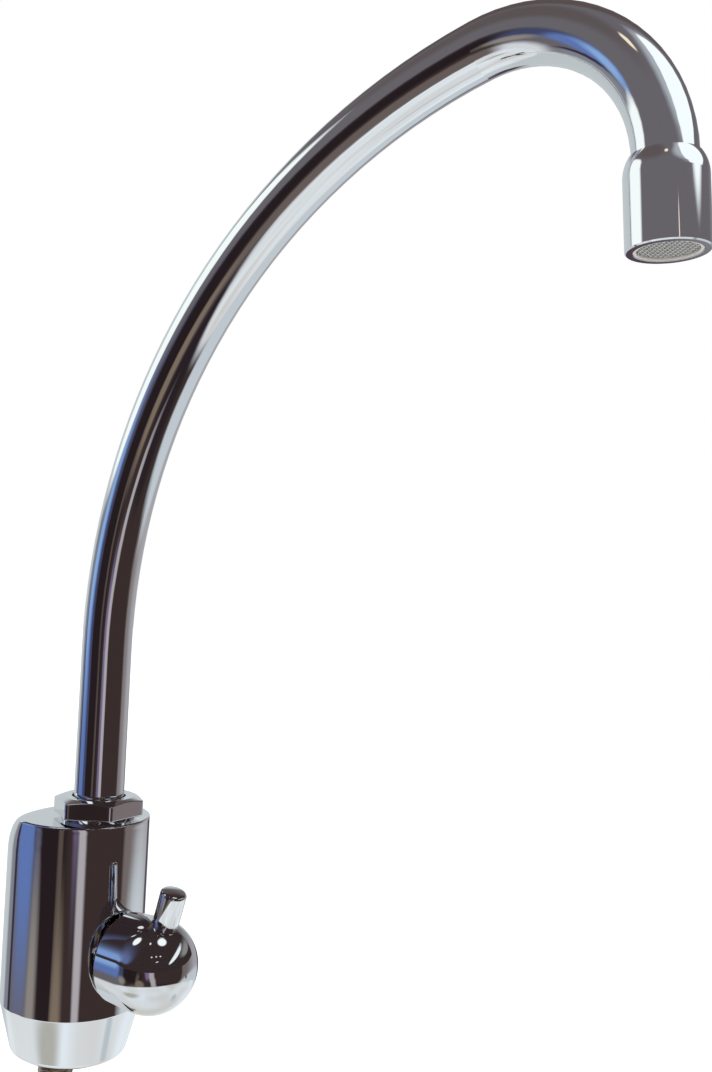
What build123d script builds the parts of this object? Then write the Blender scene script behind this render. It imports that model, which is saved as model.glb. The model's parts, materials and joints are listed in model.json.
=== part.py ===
"""A water filter faucet: a chromed body on a threaded shank, with a swivelling gooseneck spout
that ends in an aerator, and a ball-nosed knob that turns a ceramic disc cartridge.

Millimetres, +Z up. The origin is where the spout's swivel axis meets the deck that the faucet
stands on. +X runs from the back of the body to its front, where the knob is.
"""

import os
from math import cos, radians, sin, sqrt, tan

from build123d import *

# Fits and joints
running_clearance = 0.05  # radial, a shaft turning in its bore
thread_clearance = 0.05  # radial, between a thread's two halves
seal_clearance = 0.03  # radial, an O-ring beside the bore it wipes
axial_play = 0.1  # end play of pieces that turn
brazed_gap = 0.02  # radial, a brazed joint
loose_clearance = 0.45  # radial, pieces that only pass each other
edge_break = 0.3  # small chamfer on turned edges

# Spout tube
tube_radius = 7.0
tube_wall = 1.0
riser_length = 41.0  # straight tube above the spout nut
arch_radius = 152.5
arch_angle = 75.6
hook_radius = 36.2
hook_angle = 100.7

# Body: an upright obround block that tapers towards its foot
body_height = 65.9
body_radius = 18.8
body_stretch = 2.6  # between the centres of the front and the back round
body_setback = 5.9  # the front round's centre behind the swivel axis
taper_height = 14.3
taper_inset = 3.8
taper_edge_round = 0.8
foot_round = 2.0
shoulder_front = 0.5  # rounding of the top edge, along the front and the sides
shoulder_back = 10.0  # and in the middle of the back, where it is much larger
shoulder_steps = (1.0, 0.93, 0.82, 0.68, 0.52, 0.36, 0.21, 0.09, 0.05, 0.02, 0.005, 0.0)

# Spout nut and what it holds
nut_flats = 22.3
nut_turn = 33.0  # a corner's bearing about the swivel axis, in degrees
nut_height = 5.3
nut_wall = 1.75  # between the spout's hole and the thread
nut_rim_step = 1.1  # the rim's edge outside the thread
nut_rim_height = 1.0
nut_top_radius = 9.8  # flat top, inside the chamfer
nut_chamfer_slope = 0.38  # fall of the chamfer per millimetre outwards
nut_thread_length = 8.0
glide_thickness = 0.8
flange_height = 2.2
tail_radius = 6.9
tail_length = 9.6  # below its flange
tail_bore_radius = 4.0
tail_plug_length = 10.0  # above its flange, inside the tube
tail_end_gap = 1.0
o_ring_section = 1.8
o_ring_squeeze = 0.1
tail_groove_spacing = 3.6

# Cartridge, on a level axis above the deck
knob_height = 30.1
pad_radius = 8.9  # round machined pad on the body's front, hidden behind the knob
pad_proud = 0.2
cartridge_wall = 1.15
cartridge_thread_step = 0.4  # the thread outside the sleeve
cartridge_thread_length = 7.0
hex_step = 0.2  # the hexagon's flats outside the thread
hex_thickness = 3.5
neck_radius = 6.0
neck_length = 3.0
disc_thickness = 2.4
disc_radius = 6.5
disc_clearance = 0.25  # radial, in the sleeve
disc_port_inner = 1.6
disc_port_margin = 1.3  # from a port to the disc's edge
disc_port_angle = 76.0
seat_seal_thickness = 1.4
seat_seal_width = 1.0
seat_lift = 0.4  # housing's end off the body's seat, so that the seal is squeezed
window_width = 8.0
chamber_depth = 1.05  # round the cartridge, into the body
chamber_margin = 2.0
cartridge_seal_section = 1.2

# Stem
stem_radius = 3.5
stem_head_margin = 0.2  # from the head's end to the disc's edge
stem_head_thickness = 2.2
stem_head_width = 4.4
tongue_width = 2.0
tongue_depth = 1.2
stem_seal_section = 1.0
stem_seal_places = (4.0, 7.5)  # behind the front end of the neck
stem_flat_height = 2.3
clip_thickness = 0.6
clip_radius = 4.8
clip_gap_angle = 70.0

# Knob
knob_radius = 12.6
knob_gap = 0.9  # between the body's pad and the knob's rim
rim_setback = 9.8  # from the middle of the ball back to the skirt's rim
rim_round = 0.5
skirt_taper = radians(3.6)  # the skirt narrows from the ball towards its rim
pocket_clearance = 0.6  # round the cartridge's hexagon
pocket_air = 0.9  # in front of the stem's clip
stem_reach = 4.6  # stem inside the knob's nose, past the middle of the ball
screw_radius = 2.0
screw_recess = 3.4  # from the ball's surface to the screw's end
screw_socket_flats = 2.0
screw_socket_depth = 2.5
pin_radius = 3.6
pin_lean = 16.2  # outwards from upright, in degrees
pin_offset = 0.95  # the pin's axis in front of the middle of the ball
pin_floor = 2.7  # metal between the stem and the pin's lower end
pin_rise = 9.6  # the pin's upper end outside the ball

# Outlet
collar_wall = 1.65
collar_length = 20.3
collar_neck = 0.55  # the collar's top edge, proud of the tube
collar_shoulder = 4.6
collar_socket = 6.0  # the tube's end inside the collar
collar_stop = 2.0
aerator_step = 0.2  # the aerator's radius outside the tube's
aerator_recess = 0.2
aerator_seal_thickness = 1.2
aerator_seal_width = 1.9
aerator_wall = 0.5
aerator_lip = 0.65
aerator_lip_height = 0.4
aerator_top_thickness = 1.8
aerator_ledge = 1.1
sieve_thickness = 0.4
sieve_hole_count = 8
plate_thickness = 1.6
jet_count = 12
jet_radius = 0.5
jet_margin = 2.5  # from the jets' circle to the plate's edge
screen_thickness = 0.4
screen_gap = 0.8
screen_pitch = 0.95
screen_wire = 0.3
screen_rim = 0.45
mixer_wall = 0.7

# Shank and what clamps it below the deck
shank_setback = 12.0  # behind the swivel axis
shank_radius = 4.95
shank_bore_radius = 3.0
shank_length = 40.0  # of its thread, below the deck
shank_engagement = 9.0  # inside the body
shank_end_chamfer = 0.8
pipe_radius = 4.0  # plain pipe end below the thread, for the water connector
pipe_length = 15.0
pipe_end_chamfer = 0.4
shank_seal_thickness = 1.2
inlet_radius = 2.5
seat_wall = 0.9  # body metal between the inlet and the cartridge
inlet_chamber_radius = 5.0
outlet_radius = 3.0
base_seal_wall = 2.1  # metal between the shank's socket and the base seal
base_seal_width = 2.0
base_seal_depth = 1.6
deck_thickness = 20.0
rubber_radius = 11.0
rubber_thickness = 3.0
steel_radius = 11.0
steel_thickness = 1.5
lock_nut_flats = 17.0
lock_nut_height = 5.0
lock_nut_chamfer = 0.8

# Places along the swivel axis
nut_base = body_height + nut_rim_height
nut_top = nut_base + nut_height
thread_foot = body_height - nut_thread_length
flange_top = thread_foot - glide_thickness - axial_play
flange_foot = flange_top - flange_height
socket_step = flange_foot - axial_play - glide_thickness
tail_foot = flange_foot - tail_length
socket_floor = tail_foot - tail_end_gap

# Radii about the swivel axis
tube_bore_radius = tube_radius - tube_wall
spout_hole_radius = tube_radius + loose_clearance
nut_thread_radius = spout_hole_radius + nut_wall
nut_rim_radius = nut_thread_radius + nut_rim_step
flange_radius = nut_thread_radius + thread_clearance - loose_clearance
washer_radius = nut_thread_radius - running_clearance

# Places along the knob's axis, from the body's seat to the nose of the knob
body_front = body_radius - body_setback
pad_face = body_front + pad_proud
inlet_x = -shank_setback
seat_x = inlet_x + inlet_radius + seat_wall
fixed_disc_x = seat_x + seat_seal_thickness
moving_disc_x = fixed_disc_x + disc_thickness
stem_head_x = moving_disc_x + disc_thickness
stem_shoulder_x = stem_head_x + stem_head_thickness
housing_step_x = stem_shoulder_x + axial_play
cartridge_thread_x = pad_face - cartridge_thread_length
hex_face_x = pad_face + hex_thickness
neck_face_x = hex_face_x + neck_length
clip_x = neck_face_x + axial_play
rim_x = pad_face + knob_gap
ball_x = rim_x + rim_setback
pocket_x = clip_x + clip_thickness + pocket_air
stem_end_x = ball_x + stem_reach
chamber_back_x = stem_head_x - chamber_margin
chamber_front_x = housing_step_x + chamber_margin
cartridge_seal_x = (chamber_front_x + cartridge_thread_x) / 2

# Radii about the knob's axis
sleeve_bore_radius = disc_radius + disc_clearance
cartridge_radius = sleeve_bore_radius + cartridge_wall
cartridge_bore_radius = cartridge_radius + running_clearance
cartridge_thread_radius = cartridge_radius + cartridge_thread_step
chamber_radius = cartridge_bore_radius + chamber_depth
hex_flats = 2 * (cartridge_thread_radius + hex_step)
stem_bore_radius = stem_radius + running_clearance
stem_head_radius = disc_radius - stem_head_margin
skirt_setback = knob_radius * sin(skirt_taper)
skirt_radius = knob_radius * cos(skirt_taper)
rim_radius = skirt_radius - (rim_setback - skirt_setback) * tan(skirt_taper)
screw_length = knob_radius - stem_flat_height - screw_recess

knob_axis = Axis((0, 0, knob_height), (1, 0, 0))
knob_profile = Plane(origin=(0, 0, knob_height), x_dir=(1, 0, 0), z_dir=(0, -1, 0))
shank_axis = Axis((-shank_setback, 0, 0), (0, 0, 1))
shank_profile = Plane(origin=(-shank_setback, 0, 0), x_dir=(1, 0, 0), z_dir=(0, -1, 0))


def across(x):
    """The plane across the knob's axis at x, seen from the front."""
    return Plane(origin=(x, 0, knob_height), x_dir=(0, 1, 0), z_dir=(1, 0, 0))


def across_shank(height):
    """The level plane at a height, centred on the shank."""
    return Plane(origin=(-shank_setback, 0, height))


def block(x_start, x_end, low, high):
    """Fill an upright rectangle in the sketch that is open."""
    Polygon((x_start, low), (x_end, low), (x_end, high), (x_start, high))


def sloped_end(corner, slope_start, base, tip, drop):
    """Fill half the outline of a turned block whose edge slopes off at its tip."""
    Polygon((0, base), (corner, base), (corner, tip - drop), (slope_start, tip), (0, tip))


def hex_corner(flats):
    """From the middle of a hexagon to its corners."""
    return flats / sqrt(3)


def ring_centre(bore_radius, section):
    """The radius at which an O-ring's section is centred, in a bore that it seals."""
    return bore_radius - seal_clearance - section / 2


def groove_floor(bore_radius, section):
    """The radius of the floor of that O-ring's groove."""
    return ring_centre(bore_radius, section) - section / 2 - seal_clearance


def fall(radius, depth):
    """How far a rounded edge has drawn in at a depth below its flat top."""
    reach = max(radius - depth, 0.0)
    return radius - sqrt(radius**2 - reach**2)


def body_section(height, inset):
    """One level section of the body's lower part: an obround."""
    middle = -body_setback - body_stretch / 2
    with BuildSketch(Plane(origin=(middle, 0, height))) as section:
        SlotCenterToCenter(body_stretch, 2 * (body_radius - inset))
    return section.sketch


def shoulder_section(height, front_inset, back_inset):
    """One level section of the shoulder: its back half is an ellipse, flatter as it rises."""
    width = body_radius - front_inset
    back_middle = -body_setback - body_stretch
    with BuildSketch(Plane.XY.offset(height)) as section:
        with BuildLine():
            CenterArc((-body_setback, 0), width, -90, 180)
            Line((-body_setback, width), (back_middle, width))
            reach = body_radius - back_inset
            EllipticalCenterArc((back_middle, 0), reach, width, 90, arc_size=180)
            Line((back_middle, -width), (-body_setback, -width))
        make_face()
    return section.sketch


shank_socket_radius = shank_radius + thread_clearance
base_seal_inner = shank_socket_radius + base_seal_wall

# The body, with its foot, its shoulder and the pad for the cartridge
with BuildPart() as valve_body:
    waist = body_section(taper_height, 0)
    extrude(waist, amount=body_height - shoulder_back - taper_height)
    loft([body_section(0, taper_inset), waist], ruled=True)
    shoulder_sections = []
    for step in shoulder_steps:
        depth = shoulder_back * step
        insets = (fall(shoulder_front, depth), fall(shoulder_back, depth))
        shoulder_sections.append(shoulder_section(body_height - depth, *insets))
    loft(shoulder_sections)
    fillet(valve_body.faces().sort_by(Axis.Z)[0].edges(), foot_round)
    fillet(
        valve_body.edges().filter_by_position(Axis.Z, taper_height, taper_height), taper_edge_round
    )
    with BuildSketch(knob_profile):
        Polygon(
            (-body_setback, 0),
            (pad_face, 0),
            (pad_face, pad_radius - edge_break),
            (pad_face - edge_break, pad_radius),
            (-body_setback, pad_radius),
        )
    revolve(axis=knob_axis)
    # the spout's seat: thread bore, then the socket for the tail
    with BuildSketch(Plane.XZ):
        block(0, nut_thread_radius + thread_clearance, socket_step, body_height)
        block(0, tail_radius + running_clearance, socket_floor, socket_step)
    revolve(axis=Axis.Z, mode=Mode.SUBTRACT)
    # the cartridge's bore, with the inlet chamber behind its seat and the outlet round it
    with BuildSketch(knob_profile):
        block(inlet_x - inlet_radius, seat_x, 0, inlet_chamber_radius)
        block(seat_x, pad_face, 0, cartridge_bore_radius)
        block(cartridge_thread_x, pad_face, 0, cartridge_thread_radius + thread_clearance)
        block(chamber_back_x, chamber_front_x, 0, chamber_radius)
    revolve(axis=knob_axis, mode=Mode.SUBTRACT)
    with BuildSketch(Plane(origin=((chamber_back_x + chamber_front_x) / 2, 0, knob_height))):
        Circle(outlet_radius)
    extrude(amount=socket_floor - knob_height, mode=Mode.SUBTRACT)
    # the shank's socket, the inlet above it and the groove round it
    with BuildSketch(shank_profile):
        block(0, shank_socket_radius, 0, shank_engagement + shank_seal_thickness)
        block(0, inlet_radius, 0, knob_height)
        block(base_seal_inner, base_seal_inner + base_seal_width, 0, base_seal_depth)
    revolve(axis=shank_axis, mode=Mode.SUBTRACT)

# The shank: a threaded tube, plain here, with a pipe end below it, and its seal
pipe_foot = -shank_length - pipe_length

with BuildPart() as mounting_shank:
    with BuildSketch(shank_profile):
        Polygon(
            (shank_bore_radius, pipe_foot),
            (pipe_radius - pipe_end_chamfer, pipe_foot),
            (pipe_radius, pipe_foot + pipe_end_chamfer),
            (pipe_radius, -shank_length),
            (shank_radius - shank_end_chamfer, -shank_length),
            (shank_radius, shank_end_chamfer - shank_length),
            (shank_radius, shank_engagement),
            (shank_bore_radius, shank_engagement),
        )
    revolve(axis=shank_axis)

with BuildPart() as shank_seal:
    with BuildSketch(shank_profile):
        block(
            shank_bore_radius + edge_break,
            shank_radius,
            shank_engagement,
            shank_engagement + shank_seal_thickness,
        )
    revolve(axis=shank_axis)

with BuildPart() as base_seal:
    with BuildSketch(shank_profile):
        block(
            base_seal_inner + seal_clearance,
            base_seal_inner + base_seal_width - seal_clearance,
            0,
            base_seal_depth,
        )
    revolve(axis=shank_axis)

# What clamps the faucet from below the deck
rubber_foot = -deck_thickness - rubber_thickness
steel_foot = rubber_foot - steel_thickness
washer_hole_radius = shank_radius + loose_clearance

with BuildPart() as rubber_washer:
    with BuildSketch(across_shank(rubber_foot)):
        Circle(rubber_radius)
        Circle(washer_hole_radius, mode=Mode.SUBTRACT)
    extrude(amount=rubber_thickness)

with BuildPart() as steel_washer:
    with BuildSketch(across_shank(steel_foot)):
        Circle(steel_radius)
        Circle(washer_hole_radius, mode=Mode.SUBTRACT)
    extrude(amount=steel_thickness)

with BuildPart() as lock_nut:
    lock_nut_foot = steel_foot - lock_nut_height
    with BuildSketch(across_shank(lock_nut_foot)):
        RegularPolygon(lock_nut_flats / 2, 6, major_radius=False)
        Circle(shank_socket_radius, mode=Mode.SUBTRACT)
    extrude(amount=lock_nut_height)
    corner = hex_corner(lock_nut_flats)
    with BuildSketch(shank_profile):
        sloped_end(
            corner, corner - 2 * lock_nut_chamfer, steel_foot, lock_nut_foot, -lock_nut_chamfer
        )
    revolve(axis=shank_axis, mode=Mode.INTERSECT)

# The spout nut: hexagon with a cone on top, a rim under it and a thread into the body
with BuildPart() as spout_nut:
    with BuildSketch(Plane.XY.offset(nut_base)):
        RegularPolygon(nut_flats / 2, 6, major_radius=False, rotation=nut_turn)
    extrude(amount=nut_height)
    corner = hex_corner(nut_flats)
    nut_drop = (corner - nut_top_radius) * nut_chamfer_slope
    with BuildSketch(Plane.XZ):
        sloped_end(corner, nut_top_radius, nut_base, nut_top, nut_drop)
    revolve(axis=Axis.Z, mode=Mode.INTERSECT)
    with BuildSketch(Plane.XZ):
        block(0, nut_rim_radius, body_height, nut_base)
        block(0, nut_thread_radius, thread_foot, body_height)
    revolve(axis=Axis.Z)
    with BuildSketch(Plane.XY.offset(thread_foot)):
        Circle(spout_hole_radius)
    extrude(amount=nut_top - thread_foot, mode=Mode.SUBTRACT)
    nut_top_edges = spout_nut.edges().filter_by(GeomType.CIRCLE).group_by(Axis.Z)[-1]
    chamfer(nut_top_edges.sort_by(SortBy.RADIUS)[0], edge_break)

with BuildPart() as glide_washer:
    with BuildSketch(Plane.XY.offset(thread_foot - glide_thickness)):
        Circle(washer_radius)
        Circle(spout_hole_radius, mode=Mode.SUBTRACT)
    extrude(amount=glide_thickness)

with BuildPart() as thrust_washer:
    with BuildSketch(Plane.XY.offset(socket_step)):
        Circle(washer_radius)
        Circle(tail_radius + loose_clearance, mode=Mode.SUBTRACT)
    extrude(amount=glide_thickness)

# The spout: straight riser, wide arch and tight hook, then the end inside the collar
with BuildLine(Plane.XZ) as spout_path:
    riser = Line((0, flange_top), (0, nut_top + riser_length))
    arch = JernArc(riser @ 1, riser % 1, arch_radius, -arch_angle)
    hook = JernArc(arch @ 1, arch % 1, hook_radius, -hook_angle)
    Line(hook @ 1, (hook @ 1) + (hook % 1) * collar_socket)

outlet_start = hook @ 1
outlet_direction = hook % 1
outlet_side = outlet_direction.cross(Vector(0, 1, 0))
outlet_axis = Axis(outlet_start, outlet_direction)
outlet_profile = Plane(
    origin=outlet_start, x_dir=outlet_side, z_dir=outlet_side.cross(outlet_direction)
)


def across_outlet(distance):
    """The plane across the outlet's axis, at a distance past the end of the bend."""
    return Plane(
        origin=outlet_start + outlet_direction * distance,
        x_dir=outlet_side,
        z_dir=outlet_direction,
    )


with BuildPart() as spout_tube:
    with BuildSketch(Plane.XY.offset(flange_top)):
        Circle(tube_radius)
        Circle(tube_bore_radius, mode=Mode.SUBTRACT)
    sweep(path=spout_path.wire())

# The tail: a flange under the nut, a plug in the tube and a sealed stub in the body
tail_bore = tail_radius + running_clearance
tail_groove_middle = (flange_foot + tail_foot) / 2
tail_groove_heights = (
    tail_groove_middle - tail_groove_spacing / 2,
    tail_groove_middle + tail_groove_spacing / 2,
)

with BuildPart() as spout_tail:
    with BuildSketch(Plane.XZ):
        block(tail_bore_radius, tail_radius, tail_foot, flange_foot)
        block(tail_bore_radius, flange_radius, flange_foot, flange_top)
        block(
            tail_bore_radius,
            tube_bore_radius - brazed_gap,
            flange_top,
            flange_top + tail_plug_length,
        )
        for height in tail_groove_heights:
            with Locations((groove_floor(tail_bore, o_ring_section), height)):
                Rectangle(
                    tail_radius,
                    o_ring_section + o_ring_squeeze,
                    align=(Align.MIN, Align.CENTER),
                    mode=Mode.SUBTRACT,
                )
    revolve(axis=Axis.Z)

with BuildPart() as tail_o_rings:
    with BuildSketch(Plane.XZ):
        for height in tail_groove_heights:
            with Locations((ring_centre(tail_bore, o_ring_section), height)):
                Circle(o_ring_section / 2)
    revolve(axis=Axis.Z)

# The outlet collar: socket for the tube above, thread for the aerator below
aerator_seat = collar_socket + collar_stop
aerator_radius = tube_radius + aerator_step
aerator_bore_radius = aerator_radius + thread_clearance
collar_radius = aerator_bore_radius + collar_wall
neck_edge = (tube_radius + collar_neck, 0)

with BuildPart() as outlet_collar:
    with BuildSketch(outlet_profile):
        with BuildLine():
            TangentArc((collar_radius, collar_shoulder), neck_edge, tangent=(0, -1))
            Polyline(
                neck_edge,
                (tube_radius + brazed_gap, 0),
                (tube_radius + brazed_gap, collar_socket),
                (tube_bore_radius, collar_socket),
                (tube_bore_radius, aerator_seat),
                (aerator_bore_radius, aerator_seat),
                (aerator_bore_radius, collar_length),
                (collar_radius - edge_break, collar_length),
                (collar_radius, collar_length - edge_break),
                (collar_radius, collar_shoulder),
            )
        make_face()
    revolve(axis=outlet_axis)

# The aerator, from its seal down to the screens
aerator_top = aerator_seat + aerator_seal_thickness
aerator_foot = collar_length - aerator_recess
aerator_core_radius = aerator_radius - aerator_wall
aerator_inlet_radius = aerator_core_radius - aerator_ledge
screen_radius = aerator_core_radius - brazed_gap
plate_top = aerator_top + aerator_top_thickness
plate_foot = plate_top + plate_thickness
screen_foot = aerator_foot - aerator_lip_height
screen_top = screen_foot - screen_thickness
upper_screen_top = screen_top - screen_gap - screen_thickness

with BuildPart() as aerator_seal:
    with BuildSketch(across_outlet(aerator_seat)):
        Circle(aerator_radius)
        Circle(aerator_radius - aerator_seal_width, mode=Mode.SUBTRACT)
    extrude(amount=aerator_seal_thickness)

with BuildPart() as aerator_body:
    with BuildSketch(outlet_profile):
        block(aerator_inlet_radius, aerator_radius, aerator_top, plate_top)
        block(aerator_core_radius, aerator_radius, plate_top, aerator_foot)
        block(aerator_radius - aerator_lip, aerator_radius, screen_foot, aerator_foot)
    revolve(axis=outlet_axis)

with BuildPart() as inlet_sieve:
    with BuildSketch(across_outlet(plate_top - sieve_thickness)):
        Circle(aerator_inlet_radius - brazed_gap)
        with PolarLocations(aerator_inlet_radius / 2, sieve_hole_count):
            Circle(jet_radius, mode=Mode.SUBTRACT)
    extrude(amount=sieve_thickness)

with BuildPart() as jet_plate:
    with BuildSketch(across_outlet(plate_top)):
        Circle(screen_radius)
        with PolarLocations(screen_radius - jet_margin, jet_count):
            Circle(jet_radius, mode=Mode.SUBTRACT)
    extrude(amount=plate_thickness)

with BuildPart() as mixer_ring:
    with BuildSketch(across_outlet(plate_foot)):
        Circle(screen_radius)
        Circle(screen_radius - mixer_wall, mode=Mode.SUBTRACT)
    extrude(amount=upper_screen_top - plate_foot)

# The screens' square holes fill a circle inside their rim
screen_count = 2 * int((screen_radius - screen_rim) / screen_pitch) + 1
screen_hole = screen_pitch - screen_wire
screen_reach = screen_radius - screen_rim - screen_hole / sqrt(2)
with GridLocations(screen_pitch, screen_pitch, screen_count, screen_count) as grid:
    screen_places = [
        place for place in grid.local_locations if place.position.length < screen_reach
    ]

with BuildPart() as outlet_screens:
    for top in (upper_screen_top, screen_top):
        with BuildSketch(across_outlet(top)):
            Circle(screen_radius)
            with Locations(*screen_places):
                Rectangle(screen_hole, screen_hole, mode=Mode.SUBTRACT)
        extrude(amount=screen_thickness)

# The cartridge's housing: sleeve with two windows, thread, hexagon and neck
cartridge_groove_floor = groove_floor(cartridge_bore_radius, cartridge_seal_section)
window_x = (stem_head_x + housing_step_x) / 2

with BuildPart() as cartridge_housing:
    with BuildSketch(knob_profile):
        block(seat_x + seat_lift, housing_step_x, sleeve_bore_radius, cartridge_radius)
        block(housing_step_x, cartridge_thread_x, stem_bore_radius, cartridge_radius)
        block(cartridge_thread_x, pad_face, stem_bore_radius, cartridge_thread_radius)
        block(hex_face_x, neck_face_x, stem_bore_radius, neck_radius)
        with Locations((cartridge_seal_x, cartridge_groove_floor)):
            Rectangle(
                cartridge_seal_section + o_ring_squeeze,
                cartridge_radius,
                align=(Align.CENTER, Align.MIN),
                mode=Mode.SUBTRACT,
            )
    revolve(axis=knob_axis)
    with BuildSketch(across(pad_face)):
        RegularPolygon(hex_flats / 2, 6, major_radius=False)
        Circle(stem_bore_radius, mode=Mode.SUBTRACT)
    extrude(amount=hex_thickness)
    with BuildSketch(Plane(origin=(window_x, 0, knob_height))):
        Rectangle(housing_step_x - stem_head_x, window_width)
    extrude(amount=cartridge_radius + running_clearance, both=True, mode=Mode.SUBTRACT)

with BuildPart() as cartridge_o_ring:
    cartridge_ring_centre = ring_centre(cartridge_bore_radius, cartridge_seal_section)
    with BuildSketch(knob_profile):
        with Locations((cartridge_seal_x, cartridge_ring_centre)):
            Circle(cartridge_seal_section / 2)
    revolve(axis=knob_axis)

with BuildPart() as seat_seal:
    with BuildSketch(across(seat_x)):
        Circle(disc_radius)
        Circle(disc_radius - seat_seal_width, mode=Mode.SUBTRACT)
    extrude(amount=seat_seal_thickness)


def disc_ports(first_angle):
    """Cut two ports, opposite each other, in the disc sketch that is open."""
    with PolarLocations(0, 2, start_angle=first_angle):
        with BuildLine(mode=Mode.PRIVATE) as port:
            first = -disc_port_angle / 2
            inner = CenterArc((0, 0), disc_port_inner, first, disc_port_angle)
            outer = CenterArc((0, 0), disc_radius - disc_port_margin, first, disc_port_angle)
            Line(inner @ 0, outer @ 0)
            Line(inner @ 1, outer @ 1)
        add(make_face(port.edges(), mode=Mode.PRIVATE), mode=Mode.SUBTRACT)


# The ceramic discs: at rest the moving disc's openings lie a quarter turn from the fixed ports
with BuildPart() as fixed_disc:
    with BuildSketch(across(fixed_disc_x)):
        Circle(disc_radius)
        disc_ports(0)
    extrude(amount=disc_thickness)

with BuildPart() as moving_disc:
    with BuildSketch(across(moving_disc_x)):
        Circle(disc_radius - running_clearance)
        disc_ports(90)
    extrude(amount=disc_thickness)
    with BuildSketch(across(stem_head_x)):
        Rectangle(4 * disc_radius, tongue_width + 2 * running_clearance)
    extrude(amount=-tongue_depth - running_clearance, mode=Mode.SUBTRACT)

# The stem: a bar that drives the moving disc, a shaft with two seals and a flat for the screw
stem_groove_floor = groove_floor(stem_bore_radius, stem_seal_section)
stem_seal_xs = [neck_face_x - place for place in stem_seal_places]

with BuildPart() as cartridge_stem:
    with BuildSketch(across(stem_head_x)):
        Circle(stem_head_radius)
        Rectangle(3 * stem_head_radius, stem_head_width, mode=Mode.INTERSECT)
    extrude(amount=stem_head_thickness)
    with BuildSketch(across(stem_head_x)):
        Circle(stem_head_radius)
        Rectangle(3 * stem_head_radius, tongue_width, mode=Mode.INTERSECT)
    extrude(amount=-tongue_depth)
    with BuildSketch(knob_profile):
        block(stem_shoulder_x, stem_end_x, 0, stem_radius)
        for place in stem_seal_xs:
            with Locations((place, stem_groove_floor)):
                Rectangle(
                    stem_seal_section + o_ring_squeeze,
                    stem_radius,
                    align=(Align.CENTER, Align.MIN),
                    mode=Mode.SUBTRACT,
                )
        with Locations((clip_x, stem_groove_floor)):
            Rectangle(
                clip_thickness,
                stem_radius,
                align=(Align.MIN, Align.MIN),
                mode=Mode.SUBTRACT,
            )
    revolve(axis=knob_axis)
    with BuildSketch(across(pocket_x)):
        with Locations((0, -stem_flat_height)):
            Rectangle(3 * stem_radius, stem_radius, align=(Align.CENTER, Align.MAX))
    extrude(amount=stem_end_x - pocket_x, mode=Mode.SUBTRACT)

with BuildPart() as stem_o_rings:
    with BuildSketch(knob_profile):
        for place in stem_seal_xs:
            with Locations((place, ring_centre(stem_bore_radius, stem_seal_section))):
                Circle(stem_seal_section / 2)
    revolve(axis=knob_axis)

with BuildPart() as stem_clip:
    with BuildSketch(across(clip_x)):
        Circle(clip_radius)
        Circle(stem_groove_floor + brazed_gap, mode=Mode.SUBTRACT)
        mouth_half = clip_radius * tan(radians(clip_gap_angle / 2))
        Polygon(
            (0, 0),
            (-mouth_half, -clip_radius),
            (mouth_half, -clip_radius),
            mode=Mode.SUBTRACT,
        )
    extrude(amount=clip_thickness)

# The knob: a ball nose on a tapered skirt, hollow behind, bored for stem, screw and pin
pin_start = Vector(ball_x + pin_offset, 0, knob_height)
pin_direction = Vector(0, 0, 1).rotate(Axis.Y, pin_lean)
pin_root = stem_radius + pin_floor
pin_plane = Plane(origin=pin_start + pin_direction * pin_root, z_dir=pin_direction)
screw_top = knob_height - stem_flat_height
screw_plane = Plane(
    origin=((pocket_x + stem_end_x) / 2, 0, screw_top), x_dir=(1, 0, 0), z_dir=(0, 0, -1)
)

with BuildPart() as knob_ball:
    with BuildSketch(knob_profile):
        with BuildLine():
            Polyline((rim_x, 0), (rim_x, rim_radius), (ball_x - skirt_setback, skirt_radius))
            RadiusArc(
                (ball_x - skirt_setback, skirt_radius), (ball_x + knob_radius, 0), knob_radius
            )
            Line((ball_x + knob_radius, 0), (rim_x, 0))
        make_face()
    revolve(axis=knob_axis)
    fillet(knob_ball.edges().filter_by(GeomType.CIRCLE).group_by(Axis.X)[0], rim_round)
    with BuildSketch(across(rim_x)):
        Circle(hex_corner(hex_flats) + pocket_clearance)
    extrude(amount=pocket_x - rim_x, mode=Mode.SUBTRACT)
    with BuildSketch(across(pocket_x)):
        Circle(stem_radius + brazed_gap)
        with Locations((0, -stem_flat_height - brazed_gap)):
            Rectangle(
                3 * stem_radius,
                stem_radius,
                align=(Align.CENTER, Align.MAX),
                mode=Mode.SUBTRACT,
            )
    extrude(amount=stem_end_x + axial_play - pocket_x, mode=Mode.SUBTRACT)
    with BuildSketch(screw_plane):
        Circle(screw_radius + thread_clearance)
    extrude(amount=2 * knob_radius, mode=Mode.SUBTRACT)
    with BuildSketch(pin_plane):
        Circle(pin_radius + brazed_gap)
    extrude(amount=2 * knob_radius, mode=Mode.SUBTRACT)

with BuildPart() as knob_pin:
    with BuildSketch(pin_plane):
        Circle(pin_radius)
    extrude(amount=knob_radius + pin_rise - pin_root)
    chamfer(knob_pin.faces().sort_by(Axis.Z)[-1].edges(), edge_break)

with BuildPart() as knob_set_screw:
    with BuildSketch(screw_plane):
        Circle(screw_radius)
    extrude(amount=screw_length)
    with BuildSketch(screw_plane.offset(screw_length)):
        RegularPolygon(screw_socket_flats / 2, 6, major_radius=False)
    extrude(amount=-screw_socket_depth, mode=Mode.SUBTRACT)

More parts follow.
